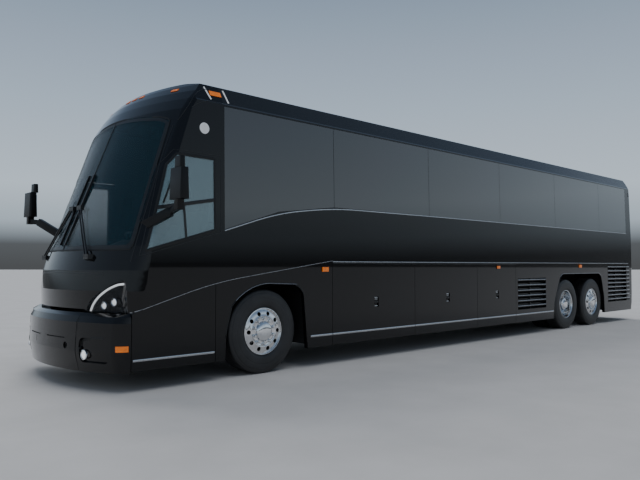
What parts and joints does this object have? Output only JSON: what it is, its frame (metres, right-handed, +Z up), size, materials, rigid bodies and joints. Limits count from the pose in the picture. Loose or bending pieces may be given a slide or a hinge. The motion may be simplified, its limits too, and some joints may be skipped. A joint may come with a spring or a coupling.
{
  "type": "coach bus",
  "caption": "Long-distance coach bus with under-floor luggage bays, steered front axle, twin driven wheels and a tag axle; doors and wheels move.",
  "frame": {"origin": "on the ground, under the middle of the coach's box", "axes": "+X forwards, +Y to the driver's side, +Z up"},
  "size_m": [13.8398, 3.456, 3.5649],
  "materials": {
    "black_paint": "gloss",
    "roof_paint": "gloss",
    "frame_steel": "matt",
    "floor_panel": "matt",
    "screen_glass": "clear",
    "smoked_glass": "smoked",
    "slat_metal": "satin",
    "lamp_clear": "clear",
    "lamp_amber": "gloss",
    "lamp_red": "gloss",
    "black_plastic": "satin",
    "dash_plastic": "matt",
    "seat_fabric": "woven",
    "cast_engine": "cast",
    "axle_iron": "painted",
    "tyre_rubber": "matt",
    "polished_aluminium": "polished"
  },
  "bodies": {
    "root": {"underframe": "frame_steel", "cabin_floor": "floor_panel", "bay_structure": "frame_steel", "wall_left": "black_paint", "wall_right": "black_paint", "roof": "roof_paint", "front_cap": "black_paint", "front_panel": "black_paint", "front_bumper": "black_paint", "windshield": "screen_glass", "window_glass": "smoked_glass", "rear_cap": "black_paint", "rear_bumper": "black_paint", "side_panels": "black_paint", "side_grilles": "slat_metal", "headlamps": "lamp_clear", "marker_lamps": "lamp_amber", "tail_lamps": "lamp_red", "mirrors": "black_plastic", "dashboard": "dash_plastic", "steering_wheel": "dash_plastic", "passenger_seats": "seat_fabric", "driver_seat": "seat_fabric", "engine_block": "cast_engine", "axles": "axle_iron", "wipers": "black_plastic", "towing_socket": "axle_iron", "wheelhouses": "frame_steel"},
    "steer_left": {"knuckle_left": "axle_iron"},
    "wheel_front_left": {"tyre_front_left": "tyre_rubber", "rim_front_left": "polished_aluminium"},
    "wheels_drive_left": {"tyre_drive_left": "tyre_rubber", "rim_drive_left": "polished_aluminium"},
    "wheel_tag_left": {"tyre_tag_left": "tyre_rubber", "rim_tag_left": "polished_aluminium"},
    "bay_left_1": {"bay_door_left_1": "black_paint"},
    "bay_left_2": {"bay_door_left_2": "black_paint"},
    "bay_left_3": {"bay_door_left_3": "black_paint"},
    "steer_right": {"knuckle_right": "axle_iron"},
    "wheel_front_right": {"tyre_front_right": "tyre_rubber", "rim_front_right": "polished_aluminium"},
    "wheels_drive_right": {"tyre_drive_right": "tyre_rubber", "rim_drive_right": "polished_aluminium"},
    "wheel_tag_right": {"tyre_tag_right": "tyre_rubber", "rim_tag_right": "polished_aluminium"},
    "bay_right_1": {"bay_door_right_1": "black_paint"},
    "bay_right_2": {"bay_door_right_2": "black_paint"},
    "bay_right_3": {"bay_door_right_3": "black_paint"},
    "entrance": {"entrance_door": "black_paint", "entrance_door_glass": "screen_glass"},
    "engine_lid": {"engine_door": "black_paint"}
  },
  "joints": [
    {"name": "steering_left", "type": "hinge", "parent": "root", "child": "steer_left", "pos_m": [4.73, 0.88, 0.515], "axis": [0, 0, 1], "range_deg": [-45, 45]},
    {"name": "wheel_front_left_spin", "type": "hinge", "parent": "steer_left", "child": "wheel_front_left", "pos_m": [4.73, 1.1, 0.515], "axis": [0, 1, 0], "continuous": true},
    {"name": "wheels_drive_left_spin", "type": "hinge", "parent": "root", "child": "wheels_drive_left", "pos_m": [-3.32, 0.93, 0.515], "axis": [0, 1, 0], "continuous": true},
    {"name": "wheel_tag_left_spin", "type": "hinge", "parent": "root", "child": "wheel_tag_left", "pos_m": [-4.54, 1.1, 0.515], "axis": [0, 1, 0], "continuous": true},
    {"name": "bay_door_left_1_hinge", "type": "hinge", "parent": "root", "child": "bay_left_1", "pos_m": [2.7045, 1.295, 1.35], "axis": [1, 0, 0], "range_deg": [0, 95]},
    {"name": "bay_door_left_2_hinge", "type": "hinge", "parent": "root", "child": "bay_left_2", "pos_m": [0.955, 1.295, 1.35], "axis": [1, 0, 0], "range_deg": [0, 95]},
    {"name": "bay_door_left_3_hinge", "type": "hinge", "parent": "root", "child": "bay_left_3", "pos_m": [-0.55, 1.295, 1.35], "axis": [1, 0, 0], "range_deg": [0, 95]},
    {"name": "steering_right", "type": "hinge", "parent": "root", "child": "steer_right", "pos_m": [4.73, -0.88, 0.515], "axis": [0, 0, 1], "range_deg": [-45, 45]},
    {"name": "wheel_front_right_spin", "type": "hinge", "parent": "steer_right", "child": "wheel_front_right", "pos_m": [4.73, -1.1, 0.515], "axis": [0, 1, 0], "continuous": true},
    {"name": "wheels_drive_right_spin", "type": "hinge", "parent": "root", "child": "wheels_drive_right", "pos_m": [-3.32, -0.93, 0.515], "axis": [0, 1, 0], "continuous": true},
    {"name": "wheel_tag_right_spin", "type": "hinge", "parent": "root", "child": "wheel_tag_right", "pos_m": [-4.54, -1.1, 0.515], "axis": [0, 1, 0], "continuous": true},
    {"name": "bay_door_right_1_hinge", "type": "hinge", "parent": "root", "child": "bay_right_1", "pos_m": [2.7045, -1.295, 1.35], "axis": [-1, 0, 0], "range_deg": [0, 95]},
    {"name": "bay_door_right_2_hinge", "type": "hinge", "parent": "root", "child": "bay_right_2", "pos_m": [0.955, -1.295, 1.35], "axis": [-1, 0, 0], "range_deg": [0, 95]},
    {"name": "bay_door_right_3_hinge", "type": "hinge", "parent": "root", "child": "bay_right_3", "pos_m": [-0.55, -1.295, 1.35], "axis": [-1, 0, 0], "range_deg": [0, 95]},
    {"name": "entrance_door_hinge", "type": "hinge", "parent": "root", "child": "entrance", "pos_m": [6.35, -1.295, 0.8], "axis": [0, 0, 1], "range_deg": [0, 85]},
    {"name": "engine_door_hinge", "type": "hinge", "parent": "root", "child": "engine_lid", "pos_m": [-6.92, 0, 1.64], "axis": [0, 1, 0], "range_deg": [0, 90]}
  ],
  "couplings": [
    {"joint": "steering_right", "follows": "steering_left", "ratio": 1}
  ]
}
